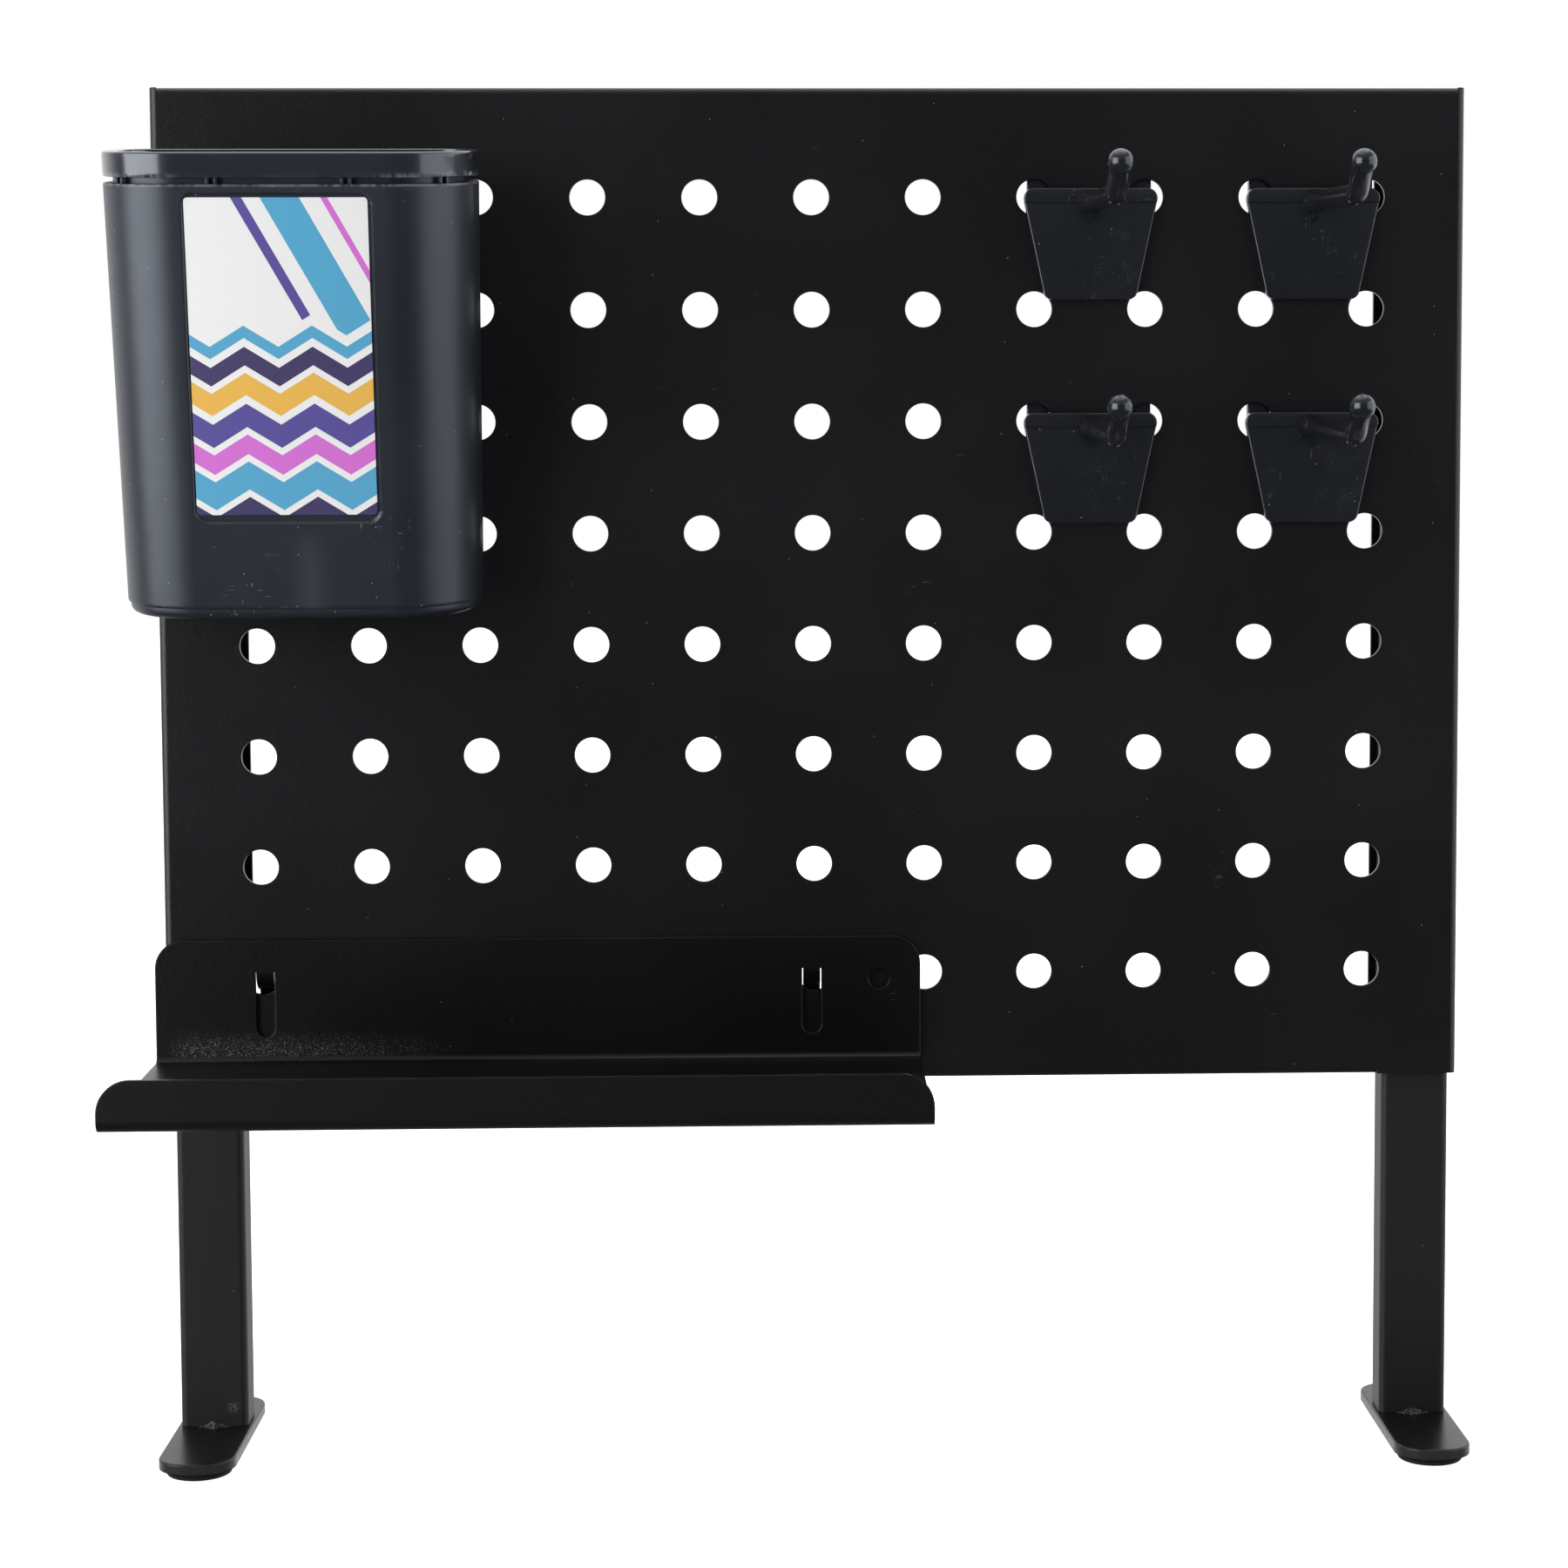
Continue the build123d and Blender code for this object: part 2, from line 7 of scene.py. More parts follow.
import bmesh
import bpy
import numpy as np
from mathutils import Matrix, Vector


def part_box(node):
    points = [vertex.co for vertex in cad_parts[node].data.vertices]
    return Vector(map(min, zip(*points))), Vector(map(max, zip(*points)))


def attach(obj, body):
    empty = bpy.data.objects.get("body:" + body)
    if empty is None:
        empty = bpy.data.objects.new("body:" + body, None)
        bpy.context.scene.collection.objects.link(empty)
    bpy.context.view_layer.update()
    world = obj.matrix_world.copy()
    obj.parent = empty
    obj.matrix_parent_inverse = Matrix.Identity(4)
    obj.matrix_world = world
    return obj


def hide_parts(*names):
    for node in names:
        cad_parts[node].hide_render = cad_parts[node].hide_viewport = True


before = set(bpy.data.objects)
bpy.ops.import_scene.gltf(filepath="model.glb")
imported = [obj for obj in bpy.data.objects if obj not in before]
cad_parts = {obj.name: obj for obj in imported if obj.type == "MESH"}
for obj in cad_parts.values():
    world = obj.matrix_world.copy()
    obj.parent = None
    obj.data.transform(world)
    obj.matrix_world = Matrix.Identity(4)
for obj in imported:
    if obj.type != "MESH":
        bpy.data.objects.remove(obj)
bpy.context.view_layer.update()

# Foot pads
# Four round pads of black rubber under the ends of the foot plates, moulded with a rounded lower edge.
# They are glued on and keep the steel off the desk.


class Shade:
    """A value in a material's nodes. Operators add Math nodes, and node() adds any other kind."""

    def __init__(self, tree, socket=None):
        self.tree = tree
        self.socket = socket

    def node(self, kind, settings, inputs, output=0):
        """Adds one node: its settings first, then the values or links of its sockets. Stops are the flat
        colours of a colour ramp, each from its place on."""
        made = self.tree.nodes.new("ShaderNode" + kind)
        for name, value in settings.items():
            if name == "stops":
                made.color_ramp.interpolation = "CONSTANT"
                for place, colour in value[2:]:
                    made.color_ramp.elements.new(place)
                for element, (place, colour) in zip(made.color_ramp.elements, value):
                    element.position = place
                    element.color = colour
            else:
                setattr(made, name, value)
        for name, value in inputs.items():
            self.feed(made.inputs[name], value)
        return Shade(self.tree, made.outputs[output])

    def feed(self, socket, value):
        """Links a value to a socket, or sets the socket."""
        if isinstance(value, Shade):
            self.tree.links.new(value.socket, socket)
        else:
            socket.default_value = value

    def sum(self, operation, first, second):
        """One Math node."""
        return self.node("Math", {"operation": operation}, {0: first, 1: second})

    def __add__(self, other):
        return self.sum("ADD", self, other)

    def __radd__(self, other):
        return self.sum("ADD", other, self)

    def __sub__(self, other):
        return self.sum("SUBTRACT", self, other)

    def __rsub__(self, other):
        return self.sum("SUBTRACT", other, self)

    def __mul__(self, other):
        return self.sum("MULTIPLY", self, other)

    def __rmul__(self, other):
        return self.sum("MULTIPLY", other, self)

    def __abs__(self):
        return self.sum("ABSOLUTE", self, 0.0)

    def ramp(self, low, high):
        """0 below low, 1 above high and a soft step between; low may be the greater."""
        return self.node("MapRange", {"interpolation_type": "SMOOTHSTEP"},
                         {"Value": self, "From Min": low, "From Max": high})

    def mix(self, first, second):
        """Colour that goes from the first to the second as this value goes from 0 to 1."""
        return self.node("Mix", {"data_type": "RGBA"}, {0: self, 6: first, 7: second}, output=2)

    def noise(self, scale, detail=2.0):
        """Cloudy noise about 0.5 at this place, with a number of waves per metre."""
        return self.node("TexNoise", {}, {"Vector": self, "Scale": scale, "Detail": detail})

    def stretch(self, x, y, z):
        """This place with each axis multiplied."""
        return self.node("VectorMath", {"operation": "MULTIPLY"}, {0: self, 1: (x, y, z)})

    def axis(self, number):
        """This place along one axis."""
        return self.node("SeparateXYZ", {}, {"Vector": self}, output=number)


def new_finish(name, **constants):
    """Material with constant shader sockets. Returns it, its shader and the place on the piece."""
    material = bpy.data.materials.new(name)
    material.use_nodes = True
    shader = material.node_tree.nodes["Principled BSDF"]
    for socket, value in constants.items():
        shader.inputs[socket.replace("_", " ")].default_value = value
    place = Shade(material.node_tree).node("TexCoord", {}, {}, output=3)
    return material, shader, place


def specks(place, size, radius, share):
    """Sparse round specks on the front: the nearest of scattered points lies within the radius."""
    flat = place.node("CombineXYZ", {}, {"X": place.axis(0), "Y": place.axis(2)})
    cell = {"voronoi_dimensions": "2D"}
    near = place.node("TexVoronoi", cell, {"Vector": flat, "Scale": 1 / size})
    kind = place.node("TexVoronoi", cell, {"Vector": flat, "Scale": 1 / size}, output=1).axis(0)
    return near.ramp(radius / size, 0.4 * radius / size) * kind.ramp(1 - share, 1 - share + 0.02)


def bump(height, strength, distance, **base):
    """Relief from a height, on the surface's own normal or on the one given as Normal."""
    relief = {"Height": height, "Strength": strength, "Distance": distance}
    return height.node("Bump", {}, {**relief, **base})


def skin(rows, ring=False):
    """Closed outlines joined row to row. A ring joins the last row to the first, others get flat ends."""
    count, across = rows.shape[:2]
    index = np.arange(count * across).reshape(count, across)
    if ring:
        index = np.vstack([index, index[:1]])
    low = index[:-1]
    high = index[1:]
    quads = np.stack([low, np.roll(low, -1, 1), np.roll(high, -1, 1), high], axis=-1)
    faces = quads.reshape(-1, 4).tolist()
    if not ring:
        faces += [index[0, ::-1].tolist(), index[-1].tolist()]
    return rows.reshape(-1, 3), faces


def join(shapes):
    """Several skins as one set of points and faces."""
    joined = []
    start = 0
    for points, faces in shapes:
        joined += [[start + corner for corner in face] for face in faces]
        start += len(points)
    return np.vstack([points for points, faces in shapes]), joined


def new_piece(name, shape, material, node, body, crease=35.0):
    """Object from a skin in millimetres, smooth but for edges sharper than the crease."""
    points, faces = shape
    mesh = bpy.data.meshes.new(name)
    mesh.from_pydata((points * 0.001).tolist(), [], faces)
    shell = bmesh.new()
    shell.from_mesh(mesh)
    bmesh.ops.recalc_face_normals(shell, faces=shell.faces)
    shell.to_mesh(mesh)
    shell.free()
    mesh.polygons.foreach_set("use_smooth", [True] * len(mesh.polygons))
    mesh.set_sharp_from_angle(angle=math.radians(crease))
    mesh.materials.append(material)
    piece = bpy.data.objects.new(name, mesh)
    bpy.context.scene.collection.objects.link(piece)
    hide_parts(node)
    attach(piece, body)
    return piece


def corners_mm(node):
    """Lowest and highest corners of a node, in millimetres."""
    low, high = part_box(node)
    return np.array(low) * 1000, np.array(high) * 1000


def lathe(centre, heights, radii, around=96):
    """Round shape on an upright axis: a circle of each radius at each height."""
    turn = np.linspace(0, 2 * np.pi, around, endpoint=False)
    rows = np.empty((len(heights), around, 3))
    rows[..., 0] = centre[0] + np.outer(radii, np.cos(turn))
    rows[..., 1] = centre[1] + np.outer(radii, np.sin(turn))
    rows[..., 2] = np.array(heights)[:, None]
    return skin(rows)


rubber, shader, place = new_finish("pad_rubber", Specular_IOR_Level=0.35)
grit = place.noise(2600.0, 3.0)
rubber_dark = (0.006, 0.006, 0.006, 1)
rubber_light = (0.016, 0.016, 0.016, 1)
place.feed(shader.inputs["Base Color"], grit.ramp(0.3, 0.8).mix(rubber_dark, rubber_light))
place.feed(shader.inputs["Roughness"], 0.62 + 0.25 * grit)
place.feed(shader.inputs["Normal"], bump(grit, strength=0.4, distance=0.0002))

pad_round = 0.5
pad_draft = 0.1
groove_heights = [0.9, 1.0, 1.2, 1.3]
groove_insets = [0.0, 0.25, 0.25, 0.0]
pad_turn = np.linspace(np.pi / 2, 0, 7)
for end in ("front_left", "front_right", "rear_left", "rear_right"):
    node = "foot_pad_" + end
    low, high = corners_mm(node)
    middle = (low + high) / 2
    radius = (high[0] - low[0]) / 2
    heights = np.concatenate([low[2] + pad_round * (1 - np.sin(pad_turn)), groove_heights, high[2:]])
    insets = np.concatenate([pad_round * (1 - np.cos(pad_turn)), groove_insets, [pad_draft]])
    pad = lathe(middle, heights, radius - insets)
    new_piece("rubber_pad_" + end, pad, rubber, node, "board")

# Feet and legs
# Flat steel strips with rounded ends, welded across the lower ends of two rectangular tubes.
# Each corner between tube and strip has a short hand-laid bead, and all of it is powder coated black.


def powder_coat(name, dark, light, roughness, grain, dust_share, edge_round):
    """Satin black powder coat: peel waves of about 1 mm, finer grain, cloudy tone, specks of dust and short
    rubbed marks. The paint is rounded over the sheet's sharp edges."""
    cool = (0.93, 0.94, 1.0, 1)
    rubbed = (0.06, 0.06, 0.065, 1)
    dusty = (0.3, 0.3, 0.3, 1)
    material, shader, place = new_finish(name, Specular_IOR_Level=0.5, Specular_Tint=cool)
    peel = place.noise(900.0)
    fine = place.noise(4200.0, 1.0)
    cloud = place.noise(16.0, 3.0)
    rub = place.stretch(420.0, 420.0, 2600.0).noise(1.0).ramp(0.66, 0.74)
    rub = rub * place.noise(70.0).ramp(0.66, 0.74)
    dust = specks(place, size=0.016, radius=0.00016, share=dust_share)
    coat = (0.5 * rub).mix(cloud.ramp(0.3, 0.7).mix(dark, light), rubbed)
    place.feed(shader.inputs["Base Color"], (0.55 * dust).mix(coat, dusty))
    place.feed(shader.inputs["Roughness"], roughness + 0.1 * cloud + 0.12 * fine)
    rounded_edge = place.node("Bevel", {"samples": 4}, {"Radius": edge_round})
    relief = bump(0.55 * peel + 0.45 * fine, strength=grain, distance=0.0002, Normal=rounded_edge)
    place.feed(shader.inputs["Normal"], relief)
    return material, shader, place


def tint(shader, share, colour):
    """Mixes a colour into what feeds the base colour, where the share says so."""
    under = Shade(share.tree, shader.inputs["Base Color"].links[0].from_socket)
    share.feed(shader.inputs["Base Color"], share.mix(under, colour))


def paint(node, material):
    """Gives a solid its finish."""
    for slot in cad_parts[node].material_slots:
        slot.material = material


def weld_bead(low, high, corner_y, face):
    """Bead along X in a corner: a quarter circle whose radius follows a bell curve along it and ripples a
    little."""
    ripple_depth = 0.03
    bell_foot = 0.2
    bell_width = 0.45
    least_radius = 0.02
    along = np.linspace(-1, 1, 57)
    turn = np.linspace(0, np.pi / 2, 9)
    leg = high[2] - low[2]
    middle = (low[0] + high[0]) / 2
    half = (high[0] - low[0]) / 2
    ripple = 1 - ripple_depth * (1 + np.cos(15 * along + 0.8 * np.sin(4 * along)))
    bell = bell_foot + (1 - bell_foot) * np.exp(-(along / bell_width) ** 2)
    radius = np.maximum(leg * bell * (1 - along ** 4) ** 0.5 * ripple, least_radius)
    across = np.concatenate([[0.0], np.cos(turn)])
    up = np.concatenate([[0.0], np.sin(turn)])
    rows = np.empty((len(along), len(across), 3))
    rows[..., 0] = (middle + along * half)[:, None]
    rows[..., 1] = corner_y + face * np.outer(radius, across)
    rows[..., 2] = low[2] + np.outer(radius, up)
    return skin(rows)


coat_dark = (0.0048, 0.0049, 0.0056, 1)
coat_light = (0.0070, 0.0071, 0.0080, 1)
# The tubes get a paler copy of the board's coat: painted light for the light that falls on their fronts
leg_lit_dark = (0.0060, 0.0061, 0.0066, 1)
leg_lit_light = (0.0085, 0.0086, 0.0093, 1)
coat_edge = 0.0004
leg_lit_coat, shader, place = powder_coat("leg_lit_powder_coat", leg_lit_dark, leg_lit_light, roughness=0.36, grain=0.35,
                                      dust_share=0.25, edge_round=coat_edge)
# Spatter of the weld has left a rough pale spot beside the left bead
spatter_pale = (0.2, 0.2, 0.21, 1)
spatter_edge = 0.0018
spatter_core = 0.0003
spatter_aside = 0.0043
spatter_rise = 0.0046
weld_low, weld_high = np.array(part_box("foot_weld_left"))
spatter_x = (weld_low[0] + weld_high[0]) / 2 + spatter_aside
spatter_z = weld_low[2] + spatter_rise
spatter = abs(place.axis(0) - spatter_x).ramp(spatter_edge, spatter_core)
spatter = spatter * abs(place.axis(2) - spatter_z).ramp(spatter_edge, spatter_core)
tint(shader, 0.6 * spatter * place.noise(2600.0).ramp(0.45, 0.65), spatter_pale)
foot_coat, shader, place = powder_coat("foot_powder_coat", coat_dark, coat_light, roughness=0.16, grain=0.2,
                                       dust_share=0.5, edge_round=coat_edge)
shader.inputs["Specular IOR Level"].default_value = 0.3
# The strips' rounded ends are painted paler: painted light for the light their ends catch from the front
end_painted_light = (0.022, 0.022, 0.025, 1)
plate_corner = 0.007
plate_low, plate_high = np.array(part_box("foot_plate_left"))
plate_middle = (plate_low[1] + plate_high[1]) / 2
corner_start = plate_high[1] - plate_middle - plate_corner
to_end = abs(place.axis(1) - plate_middle)
to_end = to_end.ramp(corner_start + 0.2 * plate_corner, corner_start + 0.7 * plate_corner)
below_top = place.axis(2).ramp(plate_high[2] - 0.00001, plate_high[2] - 0.00012)
tint(shader, to_end * below_top, end_painted_light)
# The beads are lumpy and shine more than the flat steel, and their coat is painted much paler: a painted
# highlight for their glints
bead_glint_dark = (0.014, 0.014, 0.016, 1)
bead_glint_light = (0.040, 0.041, 0.046, 1)
bead_glint_coat, shader, place = powder_coat("bead_glint_powder_coat", bead_glint_dark, bead_glint_light, roughness=0.1, grain=0.35,
                                       dust_share=0.5, edge_round=0.0002)
lumps = place.noise(1100.0, 1.0)
place.feed(shader.inputs["Normal"], bump(lumps, strength=0.9, distance=0.0012))
for side in ("left", "right"):
    paint("foot_plate_" + side, foot_coat)
    paint("leg_tube_" + side, leg_lit_coat)
    low, high = corners_mm("foot_weld_" + side)
    leg = high[2] - low[2]
    beads = join([weld_bead(low, high, low[1] + leg, -1), weld_bead(low, high, high[1] - leg, 1)])
    new_piece("weld_beads_" + side, beads, bead_glint_coat, "foot_weld_" + side, "board",
              crease=50.0)

# Pegboard
# One sheet of steel with punched round holes, its edges folded back: the sides into channels that take the
# leg tubes, the top and bottom into plain flanges. Satin black powder coat with dust and a few rubbed marks.

board_coat = powder_coat("board_powder_coat", coat_dark, coat_light, roughness=0.2, grain=0.3,
                         dust_share=0.3, edge_round=coat_edge)[0]
paint("pegboard_panel", board_coat)

# Leg screws and nuts
# Pan head screws through the rear lips of the side channels, turned into weld nuts inside the tubes.
# Steel with a black zinc finish, worn a little paler on the heads.

zinc, shader, place = new_finish("black_zinc", Metallic=1.0)
worn = place.noise(700.0, 3.0)
zinc_dark = (0.06, 0.06, 0.065, 1)
zinc_worn = (0.17, 0.17, 0.18, 1)
place.feed(shader.inputs["Base Color"], worn.ramp(0.5, 0.75).mix(zinc_dark, zinc_worn))
place.feed(shader.inputs["Roughness"], 0.28 + 0.2 * worn)
place.feed(shader.inputs["Normal"], bump(worn, strength=0.15, distance=0.0001))
for side in ("left", "right"):
    paint("leg_screws_" + side, zinc)
    paint("leg_nuts_" + side, zinc)

# Shelf
# One bent steel sheet: a back plate with two lanced tabs that hook into the lowest row of holes,
# a floor and a low front lip. Its powder coat is darker than the board's, with painted glints above the bend.

shelf_dark = (0.0018, 0.0018, 0.0020, 1)
shelf_light = (0.0028, 0.0028, 0.0031, 1)
shelf_coat, shader, place = powder_coat("shelf_powder_coat", shelf_dark, shelf_light, roughness=0.22,
                                        grain=0.28, dust_share=0.4, edge_round=0.0005)
# The lip is painted a little paler: painted light for the light it catches from the floor in front
lip_painted_light = (0.0042, 0.0042, 0.0045, 1)
lip_end = 0.0040
lip_core = 0.0025
shelf_low = np.array(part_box("shelf_tray")[0])
tint(shader, place.axis(1).ramp(shelf_low[1] + lip_end, shelf_low[1] + lip_core), lip_painted_light)
# Painted glints: pale grains painted on the last 7 mm of the back plate above the bend, most at the left, for
# light the powder catches
painted_glint_pale = (0.34, 0.34, 0.35, 1)
bend_rise = 0.0046
back_out = 0.0014
painted_glint_rise = 0.0075
painted_glint_length = 0.075
bend_height = shelf_low[2] + bend_rise
back_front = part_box("pegboard_panel")[0][1] - back_out
over_bend = place.axis(2).ramp(bend_height + painted_glint_rise, bend_height + 0.0005)
over_bend = over_bend * over_bend * place.axis(2).ramp(bend_height - 0.001, bend_height)
to_left = place.axis(0).ramp(shelf_low[0] + painted_glint_length, shelf_low[0] + 0.02)
to_left = to_left * place.axis(0).ramp(shelf_low[0] + 0.001, shelf_low[0] + 0.008)
on_back = place.axis(1).ramp(back_front - 0.0018, back_front - 0.0006)
painted_glint_grains = 0.03 + place.noise(4000.0, 1.0).ramp(0.58, 0.72)
tint(shader, 0.8 * over_bend * to_left * on_back * painted_glint_grains, painted_glint_pale)
paint("shelf_tray", shelf_coat)

# Pen cup
# Moulded charcoal plastic cup that leans forward off two prongs in the board's top row of holes.
# A neck takes the collar, pairs of small ribs carry it, and the front has a shallow recess for the label.

peg_pitch = 25.0
board_low, board_high = corners_mm("pegboard_panel")
board_middle = (board_low[0] + board_high[0]) / 2
board_front = board_low[1]
first_row_drop = 24.3
first_row = board_high[2] - first_row_drop
cup_columns = board_middle - np.array([5, 4]) * peg_pitch
cup_height = 96.7
cup_half = 38.4
cup_depth = 32.5
side_draft = 1.1
front_draft = 2.5
front_round = 17.0
rear_round = 9.0
cup_wall = 3.2
shoulder = 90.1
neck_inset = 2.1
neck_top = 95.4
collar_bottom = 91.4
front_slope = math.atan(front_draft / cup_height)
cup_lean = math.radians(7.1)
cup_aside = 0.85
cup_gap = 0.3
cup_hang = 86.4
cup_seat = np.array([cup_columns.mean() + cup_aside, board_front - cup_gap, first_row - cup_hang])
recess_middle = np.array([-0.55, 53.5])
recess_half = np.array([19.7, 34.75])
recess_corner = 2.8
recess_sink = 0.5
recess_edge = 0.3

arc = np.radians(np.linspace(0, 90, 17))
sine = np.sin(arc)
cosine = np.cos(arc)
recess_side = np.linspace(16.5, 21.3, 21)
flat_x = np.concatenate([-recess_side[::-1], np.linspace(-15, 15, 17), recess_side])
side_share = np.linspace(0, 1, 8)[1:-1]
rear_share = np.linspace(1, -1, 12)[1:-1]


def run(*values):
    """One stretch of the outline: a row for each value, single values repeated along the stretch."""
    return np.stack(np.broadcast_arrays(*values))


# Stretches round the cup from the front's left end. Each gives the fixed place across, the share of the
# corner centre's place across, the share from the front corner centre to the rear one, and the outward
# direction.
outline = np.hstack([run(flat_x, 0, 0, 0, -1),
                     run(0, 1, 0, sine, -cosine),
                     run(0, 1, side_share, 1, 0),
                     run(0, 1, 1, cosine, sine),
                     run(0, rear_share, 1, 0, 1),
                     run(0, -1, 1, -sine, cosine),
                     run(0, -1, side_share[::-1], -1, 0),
                     run(0, -1, 0, -cosine, -sine)])
column_x, column_side, column_rear, out_x, out_y = outline
column_round = np.where(column_rear == 1, rear_round, front_round)


def cup_rings(heights, insets):
    """Outline at each height, moved in by each inset: the corner's centre plus the outward direction times
    what is left of the corner's radius."""
    share = np.array(heights)[:, None] / cup_height
    half = cup_half + side_draft * share
    depth = cup_depth + front_draft * share
    reach = column_round - np.array(insets)[:, None]
    rows = np.empty(reach.shape + (3,))
    rows[..., 0] = column_x + column_side * (half - column_round) + out_x * reach
    rows[..., 1] = (1 - column_rear) * (front_round - depth) - column_rear * rear_round + out_y * reach
    rows[..., 2] = np.array(heights)[:, None]
    return rows


def lean(points):
    """Points of the upright cup turned forward about its seam and set against the board, in millimetres."""
    y = points[..., 1] * math.cos(cup_lean) - points[..., 2] * math.sin(cup_lean)
    z = points[..., 1] * math.sin(cup_lean) + points[..., 2] * math.cos(cup_lean)
    return np.stack([points[..., 0], y, z], axis=-1) + cup_seat


def rounded(corners, radii, steps=9):
    """Closed outline with every corner replaced by an arc that touches both its sides."""
    corners = np.array(corners, float)
    radii = np.array(radii, float)[:, None]
    back = np.roll(corners, 1, 0) - corners
    ahead = np.roll(corners, -1, 0) - corners
    back /= np.linalg.norm(back, axis=1, keepdims=True)
    ahead /= np.linalg.norm(ahead, axis=1, keepdims=True)
    half = np.arccos((back * ahead).sum(1, keepdims=True)) / 2
    middle = back + ahead
    middle = corners + middle / np.linalg.norm(middle, axis=1, keepdims=True) * radii / np.sin(half)
    first = corners + back * radii / np.tan(half) - middle
    last = corners + ahead * radii / np.tan(half) - middle
    share = np.linspace(0, 1, steps)[:, None, None]
    bend = np.pi - 2 * half
    arcs = middle + (np.sin((1 - share) * bend) * first + np.sin(share * bend) * last) / np.sin(bend)
    return arcs.transpose(1, 0, 2).reshape(-1, 2)


def prism(outline, low, high, edge, axis):
    """Outline carried along an axis from low to high, its end edges rounded by moving the outline in."""
    tangent = np.roll(outline, -1, 0) - np.roll(outline, 1, 0)
    tangent /= np.linalg.norm(tangent, axis=1, keepdims=True)
    inward = np.stack([-tangent[:, 1], tangent[:, 0]], axis=1)
    area = (outline[:, 0] * np.roll(outline[:, 1], -1) - outline[:, 1] * np.roll(outline[:, 0], -1)).sum()
    turn = np.linspace(0, np.pi / 2, 4)
    inset = edge * (1 - np.sin(turn))
    along = np.concatenate([low + edge * (1 - np.cos(turn)), (high - edge * (1 - np.cos(turn)))[::-1]])
    inset = np.concatenate([inset, inset[::-1]])
    flat = outline + inset[:, None, None] * inward * np.sign(area)
    return skin(np.insert(flat, axis, along[:, None], axis=2))


prong_half = 2.5
prong_top = 1.7
prong_rear = 3.9
prong_edge = 0.25
upturn_front = 1.5
upturn_top = 8.0
prong_rounds = [0.2, 3.4, 0.8, 0.8, 0.15, 0.2]


def prong_at(x, row, start, under):
    """Bar through a hole with an upturned end. Its start is given from the board's front and its underside
    from the middle of the hole."""
    corners = [(start, under), (prong_rear, under), (prong_rear, upturn_top), (upturn_front, upturn_top),
               (upturn_front, prong_top), (start, prong_top)]
    side = rounded(corners, prong_rounds) + (board_front, row)
    return prism(side, x - prong_half, x + prong_half, prong_edge, axis=0)


def cup_wall_rows():
    """Rows of height and inset from the inside floor over the neck and down the outside to the base."""
    neck_edge = 0.25
    foot_round = 1.6
    foot_inset = 0.55
    foot_rise = 0.8
    sweep = np.linspace(0, np.pi / 2, 6)
    inside = [(0.2, 5.2), (0.35, 4.2), (0.8, 3.55), (1.6, 3.25), (2.6, cup_wall), (30, cup_wall),
              (60, cup_wall)]
    neck = [(neck_top - neck_edge, cup_wall), (neck_top, cup_wall - neck_edge),
            (neck_top, neck_inset + neck_edge), (neck_top - neck_edge, neck_inset), (shoulder, neck_inset)]
    step = [(shoulder, 0.3), (shoulder - 0.1, 0.09), (shoulder - 0.3, 0.0)]
    outside = np.concatenate([np.arange(89.4, 84, -0.25), np.linspace(82, 23, 22), np.arange(22.5, 17, -0.25),
                              np.linspace(16, 0.8, 14)])
    base = [(0.3, 0.0), (0.1, 0.08), (0.0, 0.28), (0.0, foot_inset), (-0.15, foot_inset)]
    foot = np.stack([-foot_rise - foot_round * np.sin(sweep),
                     foot_inset + foot_round * (1 - np.cos(sweep))], axis=1)
    return np.vstack([inside, neck, step, np.stack([outside, 0 * outside], axis=1), base, foot])


profile = cup_wall_rows()
rows = cup_rings(profile[:, 0], profile[:, 1])
across = np.abs(rows[..., 0] - recess_middle[0]) - recess_half[0] + recess_corner
upward = np.abs(rows[..., 2] / math.cos(front_slope) - recess_middle[1]) - recess_half[1] + recess_corner
edge_distance = np.hypot(np.maximum(across, 0), np.maximum(upward, 0)) - recess_corner
edge_distance += np.minimum(np.maximum(across, upward), 0)
on_front = (profile[:, 1:] == 0) * (out_y == -1)
rows[..., 1] += on_front * recess_sink * np.clip(0.5 - edge_distance / recess_edge, 0, 1)
# A faint sink mark runs down the front below the recess
sink_x = 3.4
sink_width = 2.6
sink_top = 17.5
sink_fade = 6.0
sink_foot = 3.0
sink_depth = 0.07
sink = np.exp(-((rows[..., 0] - sink_x) / sink_width) ** 2)
sink = sink * np.clip((sink_top - rows[..., 2]) / sink_fade, 0, 1)
rows[..., 1] += on_front * sink_depth * sink * np.clip(rows[..., 2] / sink_foot, 0, 1)
# The shoulder's outer edge keeps a line of flash
flash_reach = 0.35
flash = ((profile[:, 0] > shoulder - flash_reach) & (profile[:, 1] < flash_reach)).astype(float)

